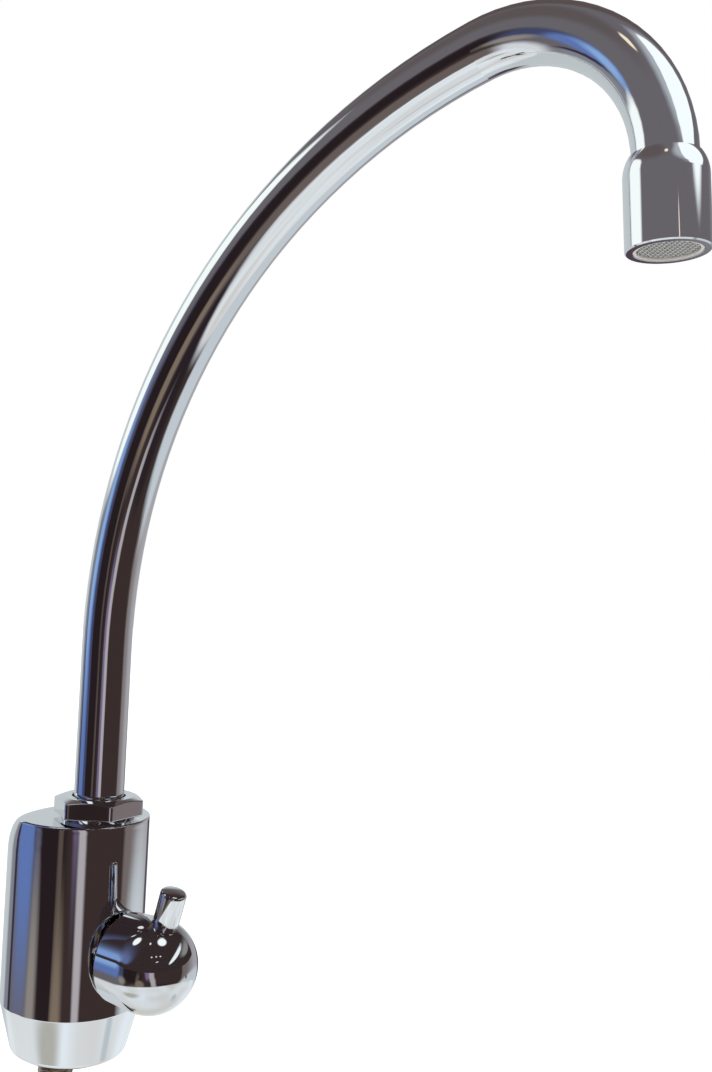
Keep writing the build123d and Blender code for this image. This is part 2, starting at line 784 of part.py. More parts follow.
# Every piece under its own name
pieces = {
    "valve_body": valve_body,
    "base_seal": base_seal,
    "mounting_shank": mounting_shank,
    "shank_seal": shank_seal,
    "rubber_washer": rubber_washer,
    "steel_washer": steel_washer,
    "lock_nut": lock_nut,
    "spout_nut": spout_nut,
    "glide_washer": glide_washer,
    "thrust_washer": thrust_washer,
    "cartridge_housing": cartridge_housing,
    "cartridge_o_ring": cartridge_o_ring,
    "seat_seal": seat_seal,
    "fixed_disc": fixed_disc,
    "spout_tube": spout_tube,
    "spout_tail": spout_tail,
    "tail_o_rings": tail_o_rings,
    "outlet_collar": outlet_collar,
    "aerator_seal": aerator_seal,
    "aerator_body": aerator_body,
    "inlet_sieve": inlet_sieve,
    "jet_plate": jet_plate,
    "mixer_ring": mixer_ring,
    "outlet_screens": outlet_screens,
    "knob_ball": knob_ball,
    "knob_pin": knob_pin,
    "knob_set_screw": knob_set_screw,
    "cartridge_stem": cartridge_stem,
    "stem_o_rings": stem_o_rings,
    "stem_clip": stem_clip,
    "moving_disc": moving_disc,
}

os.makedirs("parts", exist_ok=True)
for name, piece in pieces.items():
    piece.part.label = name
    export_step(piece.part, f"parts/{name}.step")
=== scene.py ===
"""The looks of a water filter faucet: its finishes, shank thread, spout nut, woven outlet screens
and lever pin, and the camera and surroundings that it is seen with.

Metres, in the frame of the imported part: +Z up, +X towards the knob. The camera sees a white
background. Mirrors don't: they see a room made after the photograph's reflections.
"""

import json
import math
from typing import NamedTuple

import bpy
from mathutils import Matrix, Vector


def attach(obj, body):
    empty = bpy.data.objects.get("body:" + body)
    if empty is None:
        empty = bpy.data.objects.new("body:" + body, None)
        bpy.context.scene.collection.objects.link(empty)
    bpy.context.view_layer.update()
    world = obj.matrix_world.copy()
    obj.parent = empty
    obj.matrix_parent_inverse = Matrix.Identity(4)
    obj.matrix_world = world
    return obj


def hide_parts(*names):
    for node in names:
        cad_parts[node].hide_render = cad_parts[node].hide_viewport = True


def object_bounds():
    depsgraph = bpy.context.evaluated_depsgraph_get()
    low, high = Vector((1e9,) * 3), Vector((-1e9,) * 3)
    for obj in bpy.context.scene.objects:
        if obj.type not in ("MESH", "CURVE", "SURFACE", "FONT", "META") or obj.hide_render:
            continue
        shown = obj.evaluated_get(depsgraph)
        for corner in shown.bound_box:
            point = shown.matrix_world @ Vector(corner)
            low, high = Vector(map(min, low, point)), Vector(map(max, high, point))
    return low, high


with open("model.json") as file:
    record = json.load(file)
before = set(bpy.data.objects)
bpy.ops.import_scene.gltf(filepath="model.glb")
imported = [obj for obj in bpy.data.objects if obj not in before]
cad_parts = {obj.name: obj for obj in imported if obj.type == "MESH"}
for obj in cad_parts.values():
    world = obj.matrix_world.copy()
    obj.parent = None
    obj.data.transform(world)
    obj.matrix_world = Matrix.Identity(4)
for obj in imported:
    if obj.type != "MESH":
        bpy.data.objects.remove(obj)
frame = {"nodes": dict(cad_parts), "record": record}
cad_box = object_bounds()
nodes = frame["nodes"]

# The photograph and the camera that took it
photo_width = 712
photo_height = 1072
focal_pixels = 1169.9
optical_centre = (337.3, 510.0)
sensor_length = 36.0
camera_place = (0.249296, -0.232050, 0.140636)
camera_heading = 0.6329
camera_tilt = 0.045
camera_roll = 0.0448

# The studio
floor_size = 4.0
floor_colour = (0.9, 0.9, 0.9, 1.0)
floor_glow = 0.4  # added where the camera sees the floor, so that it comes out white
white = (1.0, 1.0, 1.0, 1.0)
# The table is a painted reflection: a glowing sheet that only the chrome sees.
table_drop = 0.055  # the pale table that the chrome mirrors, below the object's lower end
table_centre = (0.03, 0.03)
table_radius = 0.26
table_fade = 0.03
table_pale = (222, 230, 234)
table_beige = (202, 200, 196)
table_grain = 7.0
table_spots = (  # darker places on it: middle, half length, half width and shade
    ((-0.012, -0.116), 0.052, 0.022, (172, 171, 164)),
    ((0.103, 0.072), 0.028, 0.016, (180, 190, 195)),
)
spot_fade = (0.4, 1.6)  # where a spot starts to fade and where it has gone, in its own size
room_waver = 0.10  # how far the room's edges stray, in radians
room_waver_scale = 6.0
mirror_gain = 1.25  # chrome gives back about 0.8 of the light that falls on it


def node(tree, kind, inputs=None, **settings):
    """Add a shader node, set its settings and fill or link its inputs."""
    made = tree.nodes.new(kind)
    for name, value in settings.items():
        setattr(made, name, value)
    for key, value in (inputs or {}).items():
        if isinstance(value, bpy.types.NodeSocket):
            tree.links.new(value, made.inputs[key])
        else:
            made.inputs[key].default_value = value
    return made


def math_node(tree, operation, *values):
    """A Math node's result."""
    inputs = dict(enumerate(values))
    return node(tree, "ShaderNodeMath", inputs, operation=operation).outputs[0]


def ramp_down(tree, value, start, end):
    """One up to start, falling smoothly to zero at end."""
    inputs = {"Value": value, 1: start, 2: end, 3: 1.0, 4: 0.0}
    made = node(tree, "ShaderNodeMapRange", inputs, interpolation_type="SMOOTHSTEP")
    return made.outputs[0]


def mix_colour(tree, share, first, second):
    """The first colour, turning into the second as share goes from zero to one."""
    inputs = {"Factor": share, 6: first, 7: second}
    return node(tree, "ShaderNodeMix", inputs, data_type="RGBA").outputs[2]


def from_screen(red, green, blue, level=1.0):
    """A colour as a screen shows it, 0 to 255, as light."""

    def light(value):
        share = value / 255
        return level * (share / 12.92 if share < 0.04 else ((share + 0.055) / 1.055) ** 2.4)

    return (light(red), light(green), light(blue), 1.0)


def long_way(tree, first, second):
    """How far two distances square to each other reach together."""
    squares = [math_node(tree, "MULTIPLY", part, part) for part in (first, second)]
    return math_node(tree, "SQRT", math_node(tree, "ADD", *squares))


def along_bearing(tree, place, centre, bearing):
    """How far a place lies from a centre along a level bearing."""
    moved = node(tree, "ShaderNodeVectorMath", {0: place, 1: centre}, operation="SUBTRACT").outputs[0]
    way = (math.cos(bearing), math.sin(bearing), 0.0)
    return node(tree, "ShaderNodeVectorMath", {0: moved, 1: way}, operation="DOT_PRODUCT").outputs["Value"]


# Camera
camera_data = bpy.data.cameras.new("camera")
camera = bpy.data.objects.new("camera", camera_data)
bpy.context.scene.collection.objects.link(camera)
camera.matrix_world = (
    Matrix.Translation(camera_place)
    @ Matrix.Rotation(camera_heading, 4, "Z")
    @ Matrix.Rotation(math.pi / 2 + camera_tilt, 4, "X")
    @ Matrix.Rotation(camera_roll, 4, "Z")
)
camera_data.sensor_width = sensor_length
camera_data.lens = focal_pixels * sensor_length / photo_height
camera_data.shift_x = (photo_width / 2 - optical_centre[0]) / photo_height
camera_data.shift_y = (optical_centre[1] - photo_height / 2) / photo_height
camera_data.clip_start = 0.01
camera_data.clip_end = 20.0
bpy.context.scene.camera = camera


class Patch(NamedTuple):
    """A soft-edged painted reflection in the room: its bearing and height, its reach to each side, in
    degrees.
    """

    name: str
    at: tuple
    reach: tuple
    shade: tuple  # as it looks in chrome on a screen, 0 to 255
    soft: float = 0.3  # how much of the reach its edge takes
    corners: float = 3.0  # 2 is an oval, more is squarer
    turn: float = 0.0


# Painted reflections: what the chrome mirrors in place of the white background, later patches over earlier
# ones.
# They light nothing; the bright patches are painted highlights and the dark ones painted dark reflections.
# Bearings run from +X to +Y.
room_shade = (101, 97, 102)
room = [
    Patch("ceiling", (-130, 58), (55, 20), (90, 82, 82), soft=0.5, corners=2),
    Patch("far_floor", (0, -75), (400, 42), (206, 210, 213), soft=0.15, corners=2),
    Patch("dark_room", (-30, -18), (92, 30), (56, 45, 43), soft=0.1, corners=4),
    Patch("doorway", (-92, -8), (26, 16), (36, 28, 30)),
    Patch("carpet", (-92, -44), (34, 15), (100, 90, 86), corners=2, turn=12),
    Patch("under_desk", (-30, -38), (34, 12), (40, 32, 36), turn=6),
    Patch("chair_leg", (-78, -16), (4, 14), (84, 74, 68), soft=0.6, turn=-10),
    Patch("right_wall", (72, -10), (38, 24), (112, 102, 101), soft=0.08),
    Patch("right_corner", (98, -14), (34, 30), (160, 159, 162), soft=0.6, corners=2),
    Patch("door_edge", (-54, -4), (5, 10), (116, 102, 136), soft=0.6, turn=14),
    Patch("door_gap", (-42, -12), (6, 22), (168, 163, 166), soft=0.4, turn=16),
    Patch("wood_leg", (-73, -26), (10, 9), (122, 108, 94), soft=0.4, corners=2),
    Patch("right_table", (76, -36), (50, 22), (190, 198, 202), soft=0.15, corners=2),
    Patch("left_wall", (-172, -10), (16, 24), (126, 127, 134), soft=0.4),
    Patch("screen_frame", (-158, -16), (4, 14), (50, 46, 66), soft=0.5),
    Patch("screen_edge", (-124, -8), (8, 12), (64, 70, 100), soft=0.5),
    Patch("screen", (-141, -5), (13, 14), (92, 116, 172), soft=0.3, corners=2.5),
    Patch("screen_top", (-144, 1), (10, 7), (134, 168, 212), soft=0.6, corners=2),
    Patch("beige_chair", (-121, -22), (9, 7), (136, 130, 124), soft=0.6, corners=2),
    Patch("window_painted_highlight", (-164, 22), (23, 15), (243, 249, 246), soft=0.15),
    Patch("lamp_glow_painted_reflection", (8, 53), (54, 25), (165, 170, 176), soft=0.25, corners=2),
    Patch("softbox_painted_highlight", (20, 48), (42, 26), (244, 251, 252), soft=0.05, corners=2),
    Patch("door_light_painted_highlight", (-41, 19.7), (1.3, 1.8), (240, 222, 212), soft=0.3),
    Patch("bulb_painted_highlight", (-72, 60), (7, 5), (244, 226, 196), corners=2),
    Patch("backdrop", (150, -8), (34, 42), (186, 192, 194), soft=0.15),
    Patch("above_backdrop", (122, 58), (44, 22), (86, 76, 74), soft=0.3),
    Patch("behind_outlet", (113, -15), (8, 8), (74, 62, 74), soft=0.5, corners=2),
]


def cover(tree, azimuth, elevation, patch):
    """How much of the room's patch lies in a direction, from zero to one."""
    aside = math_node(tree, "SUBTRACT", azimuth, math.radians(patch.at[0]))
    aside = math_node(tree, "WRAP", aside, math.pi, -math.pi)
    above = math_node(tree, "SUBTRACT", elevation, math.radians(patch.at[1]))
    sine, cosine = math.sin(math.radians(patch.turn)), math.cos(math.radians(patch.turn))

    def turned(operation, first, second):
        parts = math_node(tree, "MULTIPLY", first, cosine), math_node(tree, "MULTIPLY", second, sine)
        return math_node(tree, operation, *parts)

    across, along = turned("ADD", aside, above), turned("SUBTRACT", above, aside)
    total = 0.0
    for offset, reach in zip((across, along), patch.reach):
        share = math_node(tree, "DIVIDE", math_node(tree, "ABSOLUTE", offset), math.radians(reach))
        total = math_node(tree, "ADD", math_node(tree, "POWER", share, patch.corners), total)
    distance = math_node(tree, "POWER", total, 1 / patch.corners)
    return ramp_down(tree, distance, 1 - patch.soft, 1 + patch.soft)


def build_world():
    """White for the camera and for plain light, and the room's painted reflections for what mirrors or lets
    through.
    """
    world = bpy.data.worlds.new("studio")
    world.use_nodes = True
    bpy.context.scene.world = world
    tree = world.node_tree
    tree.nodes.clear()
    direction = node(tree, "ShaderNodeTexCoord").outputs["Generated"]
    axes = node(tree, "ShaderNodeSeparateXYZ", {0: direction}).outputs
    azimuth = math_node(tree, "ARCTAN2", axes[1], axes[0])
    elevation = math_node(tree, "ARCSINE", axes[2])
    inputs = {"Vector": direction, "Scale": room_waver_scale, "Detail": 2.0}
    waver = node(tree, "ShaderNodeTexNoise", inputs).outputs[0]
    shift = math_node(tree, "MULTIPLY", math_node(tree, "SUBTRACT", waver, 0.5), room_waver)
    azimuth = math_node(tree, "ADD", azimuth, shift)
    colour = from_screen(*room_shade, mirror_gain)
    for patch in room:
        share = cover(tree, azimuth, elevation, patch)
        colour = mix_colour(tree, share, colour, from_screen(*patch.shade, mirror_gain))
    path = node(tree, "ShaderNodeLightPath").outputs
    seen = math_node(tree, "MAXIMUM", path["Is Glossy Ray"], path["Is Transmission Ray"])
    mirrored = node(tree, "ShaderNodeBackground", {"Color": colour, "Strength": 1.0}).outputs[0]
    plain_white = node(tree, "ShaderNodeBackground", {"Color": white, "Strength": 1.0}).outputs[0]
    mixed = node(tree, "ShaderNodeMixShader", {0: seen, 1: plain_white, 2: mirrored}).outputs[0]
    node(tree, "ShaderNodeOutputWorld", {"Surface": mixed})


def new_material(name, colour):
    """A material with one shader of a plain colour."""
    material = bpy.data.materials.new(name)
    material.use_nodes = True
    tree = material.node_tree
    tree.nodes.clear()
    shader = node(tree, "ShaderNodeBsdfPrincipled")
    shader.inputs["Base Color"].default_value = (*colour, 1.0)
    node(tree, "ShaderNodeOutputMaterial", {"Surface": shader.outputs[0]})
    return material, tree, shader


def place_noise(tree, scale, detail=3.0):
    """Noise fixed to the object."""
    place = node(tree, "ShaderNodeNewGeometry").outputs["Position"]
    return node(tree, "ShaderNodeTexNoise", {"Vector": place, "Scale": scale, "Detail": detail}).outputs[0]


def varied(tree, noise, low, high):
    """A number that follows the noise between two limits."""
    return node(tree, "ShaderNodeMapRange", {"Value": noise, 1: 0.3, 2: 0.7, 3: low, 4: high}).outputs[0]


def vary_gloss(tree, shader, smooth, rough, grain):
    """Let the roughness follow a noise of that grain over the surface."""
    tree.links.new(varied(tree, place_noise(tree, grain), smooth, rough), shader.inputs["Roughness"])


def metal(name, colour, smooth, rough, grain):
    """Metal whose gloss varies a little over the surface."""
    material, tree, shader = new_material(name, colour)
    shader.inputs["Metallic"].default_value = 1.0
    vary_gloss(tree, shader, smooth, rough, grain)
    return material


def plain(name, colour, smooth, rough, grain=200):
    """Plastic, rubber or ceramic."""
    material, tree, shader = new_material(name, colour)
    vary_gloss(tree, shader, smooth, rough, grain)
    return material


materials = {}


def chrome(names, colour):
    """Bright plating."""
    for name in names:
        materials[name] = metal(name, colour, 0.02, 0.05, 60)


def turned_brass(names, colour, smooth, rough, grain=300):
    """Bare brass, as it comes off the lathe."""
    for name in names:
        materials[name] = metal(name, colour, smooth, rough, grain)


def steel(name, colour, smooth=0.25, rough=0.4):
    """Stainless steel, stamped or drawn."""
    materials[name] = metal(name, colour, smooth, rough, 300)


chrome(("body_chrome", "nut_chrome", "tube_chrome", "collar_chrome", "pin_chrome"), (0.80, 0.81, 0.83))
# The knob's chrome is darker than the rest: painted shade, which darkens what the ball mirrors.
chrome(("knob_chrome",), (0.74, 0.75, 0.77))
turned_brass(("shank_brass",), (0.42, 0.33, 0.25), 0.22, 0.36, grain=400)
turned_brass(("lock_nut_brass",), (0.66, 0.52, 0.30), 0.25, 0.4)
turned_brass(("cartridge_brass", "stem_brass", "tail_brass"), (0.70, 0.56, 0.32), 0.2, 0.32)
steel("washer_steel", (0.55, 0.56, 0.57))
steel("screw_steel", (0.45, 0.46, 0.47))
steel("clip_steel", (0.5, 0.51, 0.52))
steel("sieve_steel", (0.55, 0.55, 0.55))
steel("screen_steel", (0.80, 0.78, 0.75), 0.3, 0.42)
materials["seal_rubber"] = plain("seal_rubber", (0.02, 0.02, 0.02), 0.5, 0.7)
materials["washer_rubber"] = plain("washer_rubber", (0.025, 0.025, 0.025), 0.6, 0.8)
materials["slip_plastic"] = plain("slip_plastic", (0.8, 0.8, 0.77), 0.4, 0.5)
materials["aerator_plastic"] = plain("aerator_plastic", (0.75, 0.75, 0.73), 0.4, 0.5)
materials["aerator_shell"] = plain("aerator_shell", (0.72, 0.70, 0.66), 0.35, 0.5)
materials["ceramic"] = plain("ceramic", (0.86, 0.85, 0.82), 0.12, 0.2)

for subpart in frame["record"]["subparts"]:
    shown = nodes[subpart["node"]]
    shown.data.materials.clear()
    shown.data.materials.append(materials[subpart["material_slot"]])


def add_piece(name, points, faces, body, slot, *replaced):
    """A smooth-shaded piece in the part's frame, given in millimetres, in place of CAD nodes."""
    mesh = bpy.data.meshes.new(name)
    mesh.from_pydata([Vector(point) / 1000 for point in points], [], faces)
    mesh.polygons.foreach_set("use_smooth", [True] * len(mesh.polygons))
    mesh.materials.append(materials[slot])
    piece = bpy.data.objects.new(name, mesh)
    bpy.context.scene.collection.objects.link(piece)
    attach(piece, body)
    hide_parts(*replaced)


def grid_faces(rows, columns, first=0, closed=False):
    """Quads between rows of points that each run once round; closed joins the last row to the first."""
    faces = []
    for row in range(rows if closed else rows - 1):
        low = first + row * columns
        high = first + (row + 1) % rows * columns
        for column in range(columns):
            beside = (column + 1) % columns
            faces.append((low + column, low + beside, high + beside, high + column))
    return faces


def fillet_arc(centre, radius, start, end, count):
    """Points along an arc in a profile, by angle in degrees."""
    x, y = centre
    angles = [math.radians(start + (end - start) * index / count) for index in range(count + 1)]
    return [(x + radius * math.cos(angle), y + radius * math.sin(angle)) for angle in angles]


# Threaded shank, with the pipe end below it
shank_centre = (-12.0, 0.0)
shank_crest = 4.95
shank_bore = 3.0
shank_top = 9.0
pipe_radius = 4.0
pipe_foot = -55.0
pipe_chamfer = 0.4
thread_pitch = 1.0
thread_depth = 0.61
thread_foot = -40.0
thread_head = 0.0
thread_chamfer = 0.8  # at its foot
rows_per_pitch = 8
shank_columns = 48


def thread_dip(phase):
    """How deep a trapezoid thread lies at a share of its pitch: crest 1/8, root 1/4, flanks between."""
    half_crest, flank = 1 / 16, 5 / 16
    from_crest = abs((phase + 0.5) % 1.0 - 0.5)
    return min(max((from_crest - half_crest) / flank, 0.0), 1.0) * thread_depth


def build_shank():
    """The shank's tube, from its bore round the pipe end and up the thread."""
    points = []

    def ring(height, radii):
        for column in range(shank_columns):
            angle = 2 * math.pi * column / shank_columns
            x, y = radii(column) * math.cos(angle), radii(column) * math.sin(angle)
            points.append((shank_centre[0] + x, shank_centre[1] + y, height))

    pipe = (
        (shank_top, shank_bore),
        (pipe_foot, shank_bore),
        (pipe_foot, pipe_radius - pipe_chamfer),
        (pipe_foot + pipe_chamfer, pipe_radius),
        (thread_foot, pipe_radius),
    )
    for height, radius in pipe:
        ring(height, lambda column, radius=radius: radius)
    rows = int((thread_head - thread_foot) / thread_pitch * rows_per_pitch)
    for row in range(rows + 1):
        height = thread_foot + row * thread_pitch / rows_per_pitch
        taper = max(thread_chamfer - (height - thread_foot), 0.0)
        shown = min((height - thread_foot) / thread_pitch, (thread_head - height) / thread_pitch, 1.0)

        def radius_at(column):
            dip = thread_dip(row / rows_per_pitch - column / shank_columns) * shown
            return min(shank_crest - dip, shank_crest - taper)

        ring(height, radius_at)
    ring(shank_top, lambda column: shank_crest)
    count = len(points) // shank_columns
    faces = grid_faces(count, shank_columns, closed=True)
    add_piece("shank_thread", points, faces, "valve", "shank_brass", "mounting_shank")


# Spout nut: a hexagon with a cone on top, all its edges rounded
nut_apothem = 11.15
nut_turn = 33.0
nut_foot = 66.9
nut_head = 72.2
nut_flat_radius = 9.8
nut_cone_slope = 0.38
nut_corner_round = 0.9
nut_edge_round = 0.35
nut_hole = 7.45
nut_hole_round = 0.3
nut_rim = 10.3
nut_rim_foot = 65.9
nut_rim_chamfer = 0.05
nut_thread = 9.2
nut_tail = 57.9  # lower end of its threaded part
nut_columns = 180
# Loops beside the rounded edges, which keep the flats flat when the nut is shaded smooth
nut_flat_loops = (0.25, 0.05)
nut_cone_loops = (0.12, 0.5, 0.94)
nut_side_loop = 0.1
nut_rim_loop = 0.02


def nut_reach(bearing):
    """From the swivel axis to the hexagon's side in a direction, with its corners rounded."""
    aside = (bearing - nut_turn) % 60.0 - 30.0
    lean = abs(math.radians(aside))
    half_side = math.radians(30)
    corner_centre = (nut_apothem - nut_corner_round) / math.cos(half_side)
    flat_end = math.atan((nut_apothem - nut_corner_round) * math.tan(half_side) / nut_apothem)
    if lean <= flat_end:
        return nut_apothem / math.cos(lean)
    turn = half_side - lean
    side = corner_centre * math.sin(turn)
    return corner_centre * math.cos(turn) + math.sqrt(nut_corner_round**2 - side**2)


def nut_profile(reach):
    """The nut's section from its hole over the cone and down to its thread, at one reach."""
    rounding = nut_edge_round
    cone_lean = math.atan(nut_cone_slope)
    # where the cone's fillet meets the cone: the centre lies inside both surfaces by its radius
    centre_x = reach - rounding
    cone_drop = (centre_x - nut_flat_radius) * nut_cone_slope + rounding / math.cos(cone_lean)
    centre_z = nut_head - cone_drop
    hole_centre = (nut_hole + nut_hole_round, nut_head - nut_hole_round)
    profile = [(nut_hole, nut_head - nut_hole_round)]
    profile += fillet_arc(hole_centre, nut_hole_round, 180, 90, 3)[1:]
    profile += [(nut_flat_radius - loop, nut_head) for loop in nut_flat_loops]
    cone_end = centre_x + rounding * math.sin(cone_lean)
    for share in nut_cone_loops:
        x = nut_flat_radius + (cone_end - nut_flat_radius) * share
        profile.append((x, nut_head - (x - nut_flat_radius) * nut_cone_slope))
    profile += fillet_arc((centre_x, centre_z), rounding, 90 - math.degrees(cone_lean), 0, 6)
    profile += [(reach, centre_z - nut_side_loop), (reach, nut_foot + rounding + nut_side_loop)]
    profile += fillet_arc((centre_x, nut_foot + rounding), rounding, 0, -90, 4)
    profile += [(centre_x - nut_side_loop, nut_foot), (nut_rim + nut_rim_loop, nut_foot)]
    profile += [(nut_rim, nut_foot - nut_rim_loop), (nut_rim, nut_rim_foot + nut_rim_chamfer)]
    profile += [(nut_rim - nut_rim_chamfer, nut_rim_foot), (nut_thread, nut_rim_foot)]
    return profile + [(nut_thread, nut_tail), (nut_hole, nut_tail)]


def build_nut():
    """The hexagon, by its section on each bearing."""
    profiles = [nut_profile(nut_reach(360.0 * column / nut_columns)) for column in range(nut_columns)]
    rows = len(profiles[0])
    points = []
    for row in range(rows):
        for column in range(nut_columns):
            angle = 2 * math.pi * column / nut_columns
            radius, height = profiles[column][row]
            points.append((radius * math.cos(angle), radius * math.sin(angle), height))
    faces = [face[::-1] for face in grid_faces(rows, nut_columns, closed=True)]
    add_piece("spout_hex_nut", points, faces, "valve", "nut_chrome", "spout_nut")


# Woven wire screens of the aerator
screen_reach = 6.6
wire_pitch = 0.8
wire_radius = 0.13
wire_lift = 0.12
wire_sides = 6
screen_depths = (18.3, 19.5)  # middles, from the collar's top end along the outlet's axis
# The tube's middle line: straight up from the nut, then the long arch, then the tight hook
tube_straight = 41.0
arch_radius = 152.5
arch_bend = math.radians(75.6)
hook_radius = 36.2
hook_bend = math.radians(100.7)


def outlet_frame():
    """The outlet's axis: its start at the collar's top end, its direction and two sides."""
    crown_x = arch_radius * (1 - math.cos(arch_bend))
    crown_z = nut_head + tube_straight + arch_radius * math.sin(arch_bend)
    heading = arch_bend + hook_bend
    start_x = crown_x + hook_radius * (math.cos(arch_bend) - math.cos(heading))
    start_z = crown_z + hook_radius * (math.sin(heading) - math.sin(arch_bend))
    side = Vector((0.0, 1.0, 0.0))
    along = Vector((math.sin(heading), 0.0, math.cos(heading)))
    return Vector((start_x, 0.0, start_z)), along, side, along.cross(side)


def build_screens():
    """Two layers of crossed wires that go over and under each other."""
    start, along, side, rise = outlet_frame()
    points = []
    faces = []
    half = int(screen_reach / wire_pitch)
    for depth in screen_depths:
        middle = start + along * depth
        for first, second, sign in ((side, rise, 1), (rise, side, -1)):
            for wire in range(-half, half + 1):
                offset = wire * wire_pitch
                half_wire = math.sqrt(screen_reach**2 - offset**2) - wire_radius
                steps = max(int(half_wire / (wire_pitch / 2)), 1)
                begin = len(points)
                for step in range(-steps, steps + 1):
                    travel = step * wire_pitch / 2
                    lift = sign * wire_lift * math.cos(math.pi * travel / wire_pitch) * (-1) ** wire
                    centre = middle + second * offset + first * travel + along * lift
                    for corner in range(wire_sides):
                        angle = 2 * math.pi * corner / wire_sides
                        out = second * (wire_radius * math.cos(angle))
                        points.append(centre + out + along * (wire_radius * math.sin(angle) * sign))
                rows = 2 * steps + 1
                faces += grid_faces(rows, wire_sides, begin)
                faces.append(tuple(range(begin, begin + wire_sides))[::-1])
                last = begin + (rows - 1) * wire_sides
                faces.append(tuple(range(last, last + wire_sides)))
    add_piece("woven_screens", points, faces, "spout", "screen_steel", "outlet_screens")


# Lever pin with a softly rounded, slightly crowned end
pin_foot = (24.75, 0.0, 30.1)
pin_lean = math.radians(16.2)
pin_root = 6.2
pin_end = 22.2
pin_radius = 3.6
pin_round = 0.9
pin_crown = 0.25
pin_root_chamfer = 0.1
pin_side_loop = 0.2
pin_round_turn = 84  # where the rounding gives way to the crown, in degrees
pin_crown_shares = (0.85, 0.6, 0.35, 0.12)
pin_columns = 72


def build_pin():
    """The slanted lever pin, from its foot in the knob to its crowned end."""
    along = Vector((math.sin(pin_lean), 0.0, math.cos(pin_lean)))
    side = Vector((math.cos(pin_lean), 0.0, -math.sin(pin_lean)))
    across = Vector((0.0, 1.0, 0.0))
    shoulder = pin_end - pin_crown - pin_round
    profile = [(pin_radius - pin_root_chamfer, pin_root), (pin_radius, pin_root + pin_root_chamfer)]
    profile += [(pin_radius, shoulder - pin_side_loop)]
    profile += fillet_arc((pin_radius - pin_round, shoulder), pin_round, 0, pin_round_turn, 8)
    edge, height = profile[-1]
    for share in pin_crown_shares:
        profile.append((edge * share, height + (pin_end - height) * (1 - share**2)))
    points = []
    for radius, height in profile:
        for column in range(pin_columns):
            angle = 2 * math.pi * column / pin_columns
            offset = side * (radius * math.cos(angle)) + across * (radius * math.sin(angle))
            points.append(Vector(pin_foot) + along * height + offset)
    faces = grid_faces(len(profile), pin_columns)
    faces.append(tuple(range(pin_columns))[::-1])
    last = (len(profile) - 1) * pin_columns
    faces.append(tuple(range(last, last + pin_columns)))
    add_piece("lever_pin", points, faces, "knob", "pin_chrome", "knob_pin")


build_shank()
build_nut()
build_screens()
build_pin()


def flat_sheet(name, height):
    """A level sheet that belongs to the studio and isn't part of the object."""
    half = floor_size / 2
    mesh = bpy.data.meshes.new(name)
    corners = [(-half, -half, height), (half, -half, height), (half, half, height), (-half, half, height)]
    mesh.from_pydata(corners, [], [(0, 1, 2, 3)])
    sheet = bpy.data.objects.new(name, mesh)
    bpy.context.scene.collection.objects.link(sheet)
    material = bpy.data.materials.new(name)
    material.use_nodes = True
    material.node_tree.nodes.clear()
    mesh.materials.append(material)
    return sheet, material.node_tree


def only_for_mirrors(sheet):
    """Hide a sheet from the camera and from plain light, so that only reflections show it."""
    sheet.visible_camera = False
    sheet.visible_diffuse = False
    sheet.visible_shadow = False


def build_floor():
    """The white floor under the object, which keeps its shadow. The chrome sees the table instead."""
    floor, tree = flat_sheet("floor", cad_box[0].z)
    floor.visible_glossy = False
    paper = node(tree, "ShaderNodeBsdfDiffuse", {"Color": floor_colour}).outputs[0]
    glow = node(tree, "ShaderNodeEmission", {"Color": white, "Strength": floor_glow}).outputs[0]
    lit = node(tree, "ShaderNodeAddShader", {0: paper, 1: glow}).outputs[0]
    camera_ray = node(tree, "ShaderNodeLightPath").outputs["Is Camera Ray"]
    mixed = node(tree, "ShaderNodeMixShader", {0: camera_ray, 1: paper, 2: lit}).outputs[0]
    node(tree, "ShaderNodeOutputMaterial", {"Surface": mixed})


def build_table():
    """A painted reflection of a round pale table top, which the chrome mirrors and which lights nothing."""
    painted_table, tree = flat_sheet("painted_table", cad_box[0].z - table_drop)
    only_for_mirrors(painted_table)
    place = node(tree, "ShaderNodeNewGeometry").outputs["Position"]
    centre = (*table_centre, cad_box[0].z - table_drop)
    reach = node(tree, "ShaderNodeVectorMath", {0: place, 1: centre}, operation="DISTANCE").outputs["Value"]
    inside = ramp_down(tree, reach, table_radius - table_fade / 2, table_radius + table_fade / 2)
    inputs = {"Vector": place, "Scale": table_grain, "Detail": 1.0}
    tint = node(tree, "ShaderNodeTexNoise", inputs).outputs[0]
    pale = from_screen(*table_pale, mirror_gain)
    beige = from_screen(*table_beige, mirror_gain)
    shade = mix_colour(tree, varied(tree, tint, 0.0, 1.0), pale, beige)
    for spot, half_length, half_width, spot_shade in table_spots:
        middle = (spot[0], spot[1], centre[2])
        across = math_node(tree, "DIVIDE", along_bearing(tree, place, middle, 0.0), half_length)
        away = math_node(tree, "DIVIDE", along_bearing(tree, place, middle, math.pi / 2), half_width)
        share = ramp_down(tree, long_way(tree, across, away), *spot_fade)
        shade = mix_colour(tree, share, shade, from_screen(*spot_shade, mirror_gain))
    top = node(tree, "ShaderNodeEmission", {"Color": shade, "Strength": 1.0}).outputs[0]
    clear = node(tree, "ShaderNodeBsdfTransparent").outputs[0]
    mixed = node(tree, "ShaderNodeMixShader", {0: inside, 1: clear, 2: top}).outputs[0]
    node(tree, "ShaderNodeOutputMaterial", {"Surface": mixed})


# The dark panel that hangs over the knob, painted shade with painted highlights on its underside, in
# millimetres. It lights nothing; only reflections show it.
panel_height = 120.0
panel_bearings = (-70, -12)  # it reaches away from the faucet on these bearings
panel_edge = -8.0  # from the swivel axis along those bearings
panel_soft = 14.0
knob_centre = (23.8, 0.0, 30.1)
panel_painted_shade = (52, 42, 43)


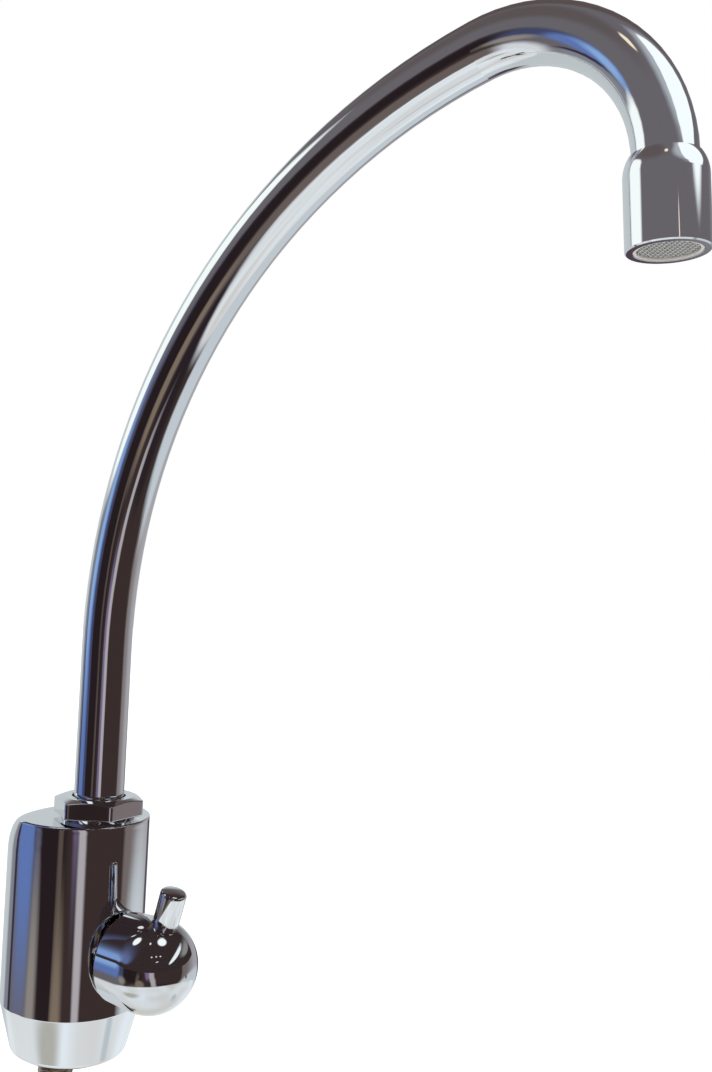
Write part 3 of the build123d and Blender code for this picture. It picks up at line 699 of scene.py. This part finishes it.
class PanelPaintMark(NamedTuple):
    """A painted reflection on the panel: its bearing and distance from the knob, half its length and width.
    """

    name: str
    bearing: float
    distance: float
    length: float
    width: float
    shade: tuple
    soft: float = 0.2
    turn: float = 0.0  # of its length against its bearing


# Painted reflections on the panel's underside; the white ones are painted highlights.
panel_paint_marks = [
    PanelPaintMark("blue_cloth", -118, 318, 190, 75, (94, 106, 150), soft=0.5),
    PanelPaintMark("screen_above", -141, 520, 250, 110, (124, 156, 208), soft=0.5),
    PanelPaintMark("grey_wall", 62, 260, 90, 100, (134, 134, 132), soft=0.5),
    PanelPaintMark("window_frame", 16, 208, 135, 27, (238, 246, 248), turn=138),
    PanelPaintMark("left_painted_highlight", -122, 59, 21, 13, (250, 255, 255)),
    PanelPaintMark("right_painted_highlight", 5, 44, 16, 17, (250, 255, 255)),
    PanelPaintMark("middle_painted_highlight", -56, 40, 5, 3, (244, 232, 214)),
    PanelPaintMark("ceiling_painted_highlight_1", -46, 122, 6, 5, (240, 236, 236)),
    PanelPaintMark("ceiling_painted_highlight_2", -33, 119, 6, 5, (240, 236, 236)),
    PanelPaintMark("ceiling_painted_highlight_3", -21, 121, 6, 5, (240, 236, 236)),
    PanelPaintMark("ceiling_painted_highlight_4", -33, 193, 8, 6, (240, 236, 236)),
    PanelPaintMark("ceiling_painted_highlight_5", -30, 184, 8, 6, (240, 236, 236)),
]


def build_panel():
    """The panel's painted shade and painted highlights are seen from below only, and only by what mirrors
    them.
    """
    reflection_panel, tree = flat_sheet("reflection_panel", panel_height / 1000)
    only_for_mirrors(reflection_panel)
    geometry = node(tree, "ShaderNodeNewGeometry").outputs
    place = geometry["Position"]
    shade = from_screen(*panel_painted_shade, mirror_gain)
    for paint_mark in panel_paint_marks:
        bearing = math.radians(paint_mark.bearing)
        centre = (
            (knob_centre[0] + paint_mark.distance * math.cos(bearing)) / 1000,
            (knob_centre[1] + paint_mark.distance * math.sin(bearing)) / 1000,
            panel_height / 1000,
        )
        turned = bearing + math.radians(paint_mark.turn)
        out = math_node(tree, "DIVIDE", along_bearing(tree, place, centre, turned), paint_mark.length / 1000)
        side = along_bearing(tree, place, centre, turned + math.pi / 2)
        side = math_node(tree, "DIVIDE", side, paint_mark.width / 1000)
        share = ramp_down(tree, long_way(tree, out, side), 1 - paint_mark.soft, 1 + paint_mark.soft)
        shade = mix_colour(tree, share, shade, from_screen(*paint_mark.shade, mirror_gain))
    ways = [along_bearing(tree, place, (0.0, 0.0, 0.0), math.radians(way)) for way in panel_bearings]
    reach = math_node(tree, "MAXIMUM", *ways)
    low, high = (panel_edge - panel_soft) / 1000, (panel_edge + panel_soft) / 1000
    covered = math_node(tree, "SUBTRACT", 1.0, ramp_down(tree, reach, low, high))
    covered = math_node(tree, "MULTIPLY", covered, geometry["Backfacing"])
    dark = node(tree, "ShaderNodeEmission", {"Color": shade, "Strength": 1.0}).outputs[0]
    clear = node(tree, "ShaderNodeBsdfTransparent").outputs[0]
    mixed = node(tree, "ShaderNodeMixShader", {0: covered, 1: clear, 2: dark}).outputs[0]
    node(tree, "ShaderNodeOutputMaterial", {"Surface": mixed})


build_world()
build_floor()
build_table()
build_panel()
bpy.context.scene.view_settings.view_transform = "Standard"
